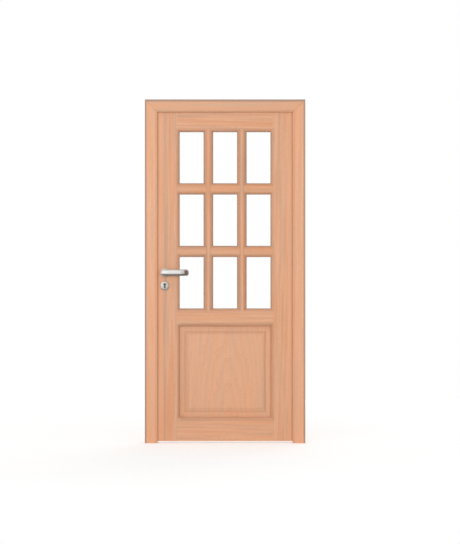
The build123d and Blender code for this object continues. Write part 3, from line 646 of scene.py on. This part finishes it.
# Roses and escutcheons
# Pressed stainless covers, slightly crowned and rounded at the edge, clipped over lever bearing and cylinder.
# They are brushed upright, so the light spreads sideways over them.
cover_steel = brushed_metal("brushed_steel_covers", "#A9A39E", 0.28, "Z", 0.5 * MM)
COVER_RISE = 10 * MM
COVER_CROWN = 0.8 * MM
COVER_EDGE = 2.5 * MM
COVER_SIDES = 96
BORE_RIM = 2 * MM
NECK_BORE = 12 * MM
KEY_ROUND = 8.8 * MM
KEY_TAIL = 5.3 * MM
KEY_TAIL_DROP = 19.5 * MM
key_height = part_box("lock_cylinder")[1].z - KEY_ROUND


def crowned_cover(work, centre, out, flat, bore):
    """Cover with a flat middle, a crown, a round edge and a bore, whose reach is given for each angle."""
    radius = (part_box("roses")[1].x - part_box("roses")[0].x) / 2
    side = Vector((-out.y, 0, 0))
    angles = [2 * math.pi * i / COVER_SIDES for i in range(COVER_SIDES)]

    def loop(along, reach):
        return [centre + out * along + (side * math.cos(a) + up * math.sin(a)) * reach(a) for a in angles]

    rows = [loop(0, lambda a: radius)]
    shoulder = COVER_RISE - COVER_CROWN - COVER_EDGE
    for turn in (math.radians(15 * i) for i in range(7)):
        edge = radius - COVER_EDGE * (1 - math.cos(turn))
        rows.append(loop(shoulder + COVER_EDGE * math.sin(turn), lambda a: edge))
    for share in (0.8, 0.6, 0.4, 0.2, 0):
        crown = flat + (radius - COVER_EDGE - flat) * share
        rows.append(loop(COVER_RISE - COVER_CROWN * share ** 2, lambda a: crown))
    rows += [loop(COVER_RISE, bore), loop(COVER_RISE - BORE_RIM, bore), loop(0, bore)]
    skin_loops(work, rows, joined=True)


def key_bore(angle):
    """Reach of the cylinder's keyhole outline from the middle of the escutcheon."""
    low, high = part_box("escutcheons")
    lift = key_height - (low.z + high.z) / 2
    c, s = math.cos(angle), math.sin(angle)
    reach = lift * s + math.sqrt(KEY_ROUND ** 2 - (lift * c) ** 2) if abs(lift * c) < KEY_ROUND else 0
    drop = lift - KEY_TAIL_DROP
    if abs(drop * c) < KEY_TAIL:
        reach = max(reach, drop * s + math.sqrt(KEY_TAIL ** 2 - (drop * c) ** 2))
    wall = KEY_TAIL / max(abs(c), 1e-6)
    return max(reach, wall) if drop < wall * s < lift else reach


for name, node_name, flat, bore in (
    ("rose_covers", "roses", 13 * MM, lambda a: NECK_BORE),
    ("escutcheon_covers", "escutcheons", 14 * MM, key_bore),
):
    low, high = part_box(node_name)
    middle = (low + high) / 2
    work = bmesh.new()
    for face, out in ((low.y + COVER_RISE, -inward), (high.y - COVER_RISE, inward)):
        crowned_cover(work, Vector((middle.x, face, middle.z)), out, flat, bore)
    piece(name, work, cover_steel, "leaf", [node_name])

# Levers
# Cast stainless grips of oval section that turn back to the door at the tip, on a waisted neck.
# Satin polished along the grip: bright where it faces the light and dark below.
lever_steel = brushed_metal("satin_polished_steel", "#C8C6C2", 0.3, "X", 0.6 * MM)
STRAIGHT = 96 * MM
BEND_RADIUS = 45 * MM
BEND = math.radians(50)
HALF_THICKNESS = 8.5 * MM
OVAL = 2.3
NECK = 11 * MM
NECK_WAIST = 9.5 * MM
STRAIGHT_STEPS = 6
BEND_STEPS = 12
END_STEPS = 10
END_CLOSE = 0.995
END_FULLNESS = 0.6


def oval(centre, out, width, thickness, count=40):
    """Loop of a rounded oval, its width upright and its thickness along out."""
    points = []
    for i in range(count):
        angle = 2 * math.pi * i / count
        c, s = math.cos(angle), math.sin(angle)
        across = math.copysign(abs(c) ** (2 / OVAL), c) * thickness
        upright = math.copysign(abs(s) ** (2 / OVAL), s) * width
        points.append(centre + out * across + up * upright)
    return points


def lever(name, node_name, out):
    """Grip and neck of one lever, standing out from its face of the leaf."""
    low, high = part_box(node_name)
    half_width = (high.z - low.z) / 2
    face, tip = (high.y, low.y) if out.y < 0 else (low.y, high.y)
    hub = Vector((low.x + half_width, tip - out.y * HALF_THICKNESS, (low.z + high.z) / 2))
    run = Vector((1, 0, 0))
    shares = [1 - (1 - i / END_STEPS) ** 2 for i in range(END_STEPS)] + [END_CLOSE]

    def end_loop(centre, facing, share):
        taper = math.sqrt(1 - share ** 2)
        return oval(centre, facing, half_width * taper, HALF_THICKNESS * taper ** END_FULLNESS)

    loops = [end_loop(hub - run * half_width * share, out, share) for share in reversed(shares)]
    for i in range(1, STRAIGHT_STEPS + 1):
        loops.append(oval(hub + run * STRAIGHT * i / STRAIGHT_STEPS, out, half_width, HALF_THICKNESS))
    pivot = hub + run * STRAIGHT - out * BEND_RADIUS
    for i in range(1, BEND_STEPS + 1):
        angle = BEND * i / BEND_STEPS
        turn_out = out * math.cos(angle) + run * math.sin(angle)
        loops.append(oval(pivot + turn_out * BEND_RADIUS, turn_out, half_width, HALF_THICKNESS))
    heading = run * math.cos(BEND) - out * math.sin(BEND)
    last = pivot + turn_out * BEND_RADIUS
    loops += [end_loop(last + heading * half_width * share, turn_out, share) for share in shares[1:]]
    work = bmesh.new()
    skin_loops(work, loops)
    length = abs(hub.y - face)
    waist = [
        (0, NECK), (0.18, NECK), (0.3, NECK_WAIST), (0.6, NECK_WAIST), (0.78, NECK), (1, 1.15 * NECK),
    ]
    turned(work, Vector((hub.x, face, hub.z)), out, [(length * share, radius) for share, radius in waist])
    piece(name, work, lever_steel, "lever", [node_name])


lever("lever_grip_outside", "lever_outside", Vector((0, -1, 0)))
lever("lever_grip_inside", "lever_inside", Vector((0, 1, 0)))

# Spindle
# A square bar of bright drawn steel through the lock, held in the sockets of both levers.
# It shows only in the gap of the roses.
finish_node("lever_spindle", brushed_metal("drawn_steel_spindle", "#8F8E8B", 0.35, "Y", 0.5 * MM))

# Studio
# A pale floor that keeps the shadow, in a white surround, under wide even lamps in front and one behind.
# Grey flags low down and at the right and a softbox at the left show only as reflections, mostly in metal.
SCENE = bpy.context.scene
SCENE.view_settings.view_transform = "Standard"
AMBIENT = 0.5
world = bpy.data.worlds.new("studio")
SCENE.world = world
world.use_nodes = True
tree = world.node_tree
tree.nodes.clear()


def seen_directly(tree):
    """Output that is 1 for rays from the camera, a mirror or glass, and 0 for light that falls on the object."""
    path = add(tree, "LightPath", {})
    first = add(
        tree, "Math", {"operation": "MAXIMUM"},
        [(0, path.outputs["Is Camera Ray"]), (1, path.outputs["Is Glossy Ray"])],
    )
    return add(
        tree, "Math", {"operation": "MAXIMUM"},
        [(0, first.outputs[0]), (1, path.outputs["Is Transmission Ray"])],
    ).outputs[0]


strength = add(tree, "MapRange", {"To Min": AMBIENT, "To Max": 1.0}, [("Value", seen_directly(tree))])
backdrop = add(tree, "Background", {"Color": linear("#FFFFFF")}, [("Strength", strength.outputs[0])])
tree.links.new(backdrop.outputs[0], tree.nodes.new("ShaderNodeOutputWorld").inputs["Surface"])

FLOOR_SIDE = 8.0
FLOOR_LIFT = 0.42
material, tree, surface = new_material("studio_floor")
matt = add(tree, "BsdfDiffuse", {"Color": linear("#F2F2F2")})
lift = add(tree, "Math", {"operation": "MULTIPLY", 1: FLOOR_LIFT}, [(0, seen_directly(tree))])
glow = add(tree, "Emission", {"Color": linear("#FFFFFF")}, [("Strength", lift.outputs[0])])
both = add(tree, "AddShader", {}, [(0, matt.outputs[0]), (1, glow.outputs[0])])
tree.links.new(both.outputs[0], surface)


def card(name, corners, material):
    """Flat card of the studio."""
    mesh = bpy.data.meshes.new(name)
    mesh.from_pydata(corners, [], [range(len(corners))])
    mesh.materials.append(material)
    made = bpy.data.objects.new(name, mesh)
    SCENE.collection.objects.link(made)
    return made


def rectangle(first, second):
    """Four corners in turn, from the ends of both sides."""
    return [(first[i], second[j]) for i, j in ((0, 0), (1, 0), (1, 1), (0, 1))]


floor_ends = (-FLOOR_SIDE / 2, FLOOR_SIDE / 2)
card("floor", [(x, y, 0) for x, y in rectangle(floor_ends, floor_ends)], material)

material, tree, surface = new_material("dark_flag")
tree.links.new(add(tree, "BsdfDiffuse", {"Color": linear("#6A6A6A")}).outputs[0], surface)
FLAG_HEIGHT = 5 * MM
FLAG_ENDS = (-3, 2)
FLAG_OUTSIDE, FLAG_INSIDE = (-0.22, -3.1), (0.26, 3.1)
FLAG_RIGHT = 1.8
cards = []
for name, corners in (
    ("flag_low_outside", [(x, y, FLAG_HEIGHT) for x, y in rectangle(FLAG_ENDS, FLAG_OUTSIDE)]),
    ("flag_low_inside", [(x, y, FLAG_HEIGHT) for x, y in rectangle(FLAG_ENDS, FLAG_INSIDE)]),
    ("flag_right_outside", [(FLAG_RIGHT, y, z) for y, z in rectangle((-0.1, -1.8), (0, 3))]),
):
    cards.append(card(name, corners, material))

SOFTBOX = 2.2
SOFTBOX_FRONT = -6
material, tree, surface = new_material("softbox_cloth")
glow = add(tree, "Emission", {"Color": linear("#FFFFFF"), "Strength": SOFTBOX})
tree.links.new(glow.outputs[0], surface)
corners = [(x, SOFTBOX_FRONT, z) for x, z in rectangle((-5, -1), (0.4, 3.6))]
cards.append(card("softbox", corners, material))
for shown in cards:
    shown.visible_camera = shown.visible_diffuse = False
    shown.visible_shadow = shown.visible_transmission = False

centre = (Vector(cad_box[0]) + Vector(cad_box[1])) / 2
for name, spot, width, height, power in (
    ("key", (-4.0, -12.0, 2.3), 8.0, 4.4, 515),
    ("fill", (4.0, -12.0, 1.5), 8.0, 2.8, 380),
    ("back", (2.5, 12.0, 3.2), 10.0, 6.0, 640),
):
    lamp = bpy.data.lights.new(name, "AREA")
    lamp.shape = "RECTANGLE"
    lamp.size, lamp.size_y = width, height
    lamp.energy = power
    holder = bpy.data.objects.new(name, lamp)
    holder.location = spot
    holder.rotation_euler = (centre - Vector(spot)).to_track_quat("-Z", "Y").to_euler()
    holder.visible_camera = holder.visible_transmission = holder.visible_glossy = False
    SCENE.collection.objects.link(holder)

# Camera
# Square to the door from far off, so that upright lines stay parallel.
# Its frame is the picture's: each pixel covers the same stretch of the frame's face.
PIXEL = 6.106 * MM
IMAGE_HEIGHT = 544
DISTANCE = 12.0
VIEW_X = -0.46
VIEW_Z = 1.046
camera = bpy.data.objects.new("camera", bpy.data.cameras.new("camera"))
camera.location = (VIEW_X, cad_box[0][1] - DISTANCE, VIEW_Z)
camera.rotation_euler = (math.radians(90), 0, 0)
face_distance = DISTANCE + frame_front - cad_box[0][1]
camera.data.lens = camera.data.sensor_width * face_distance / (IMAGE_HEIGHT * PIXEL)
camera.data.clip_end = 100
SCENE.collection.objects.link(camera)
SCENE.camera = camera
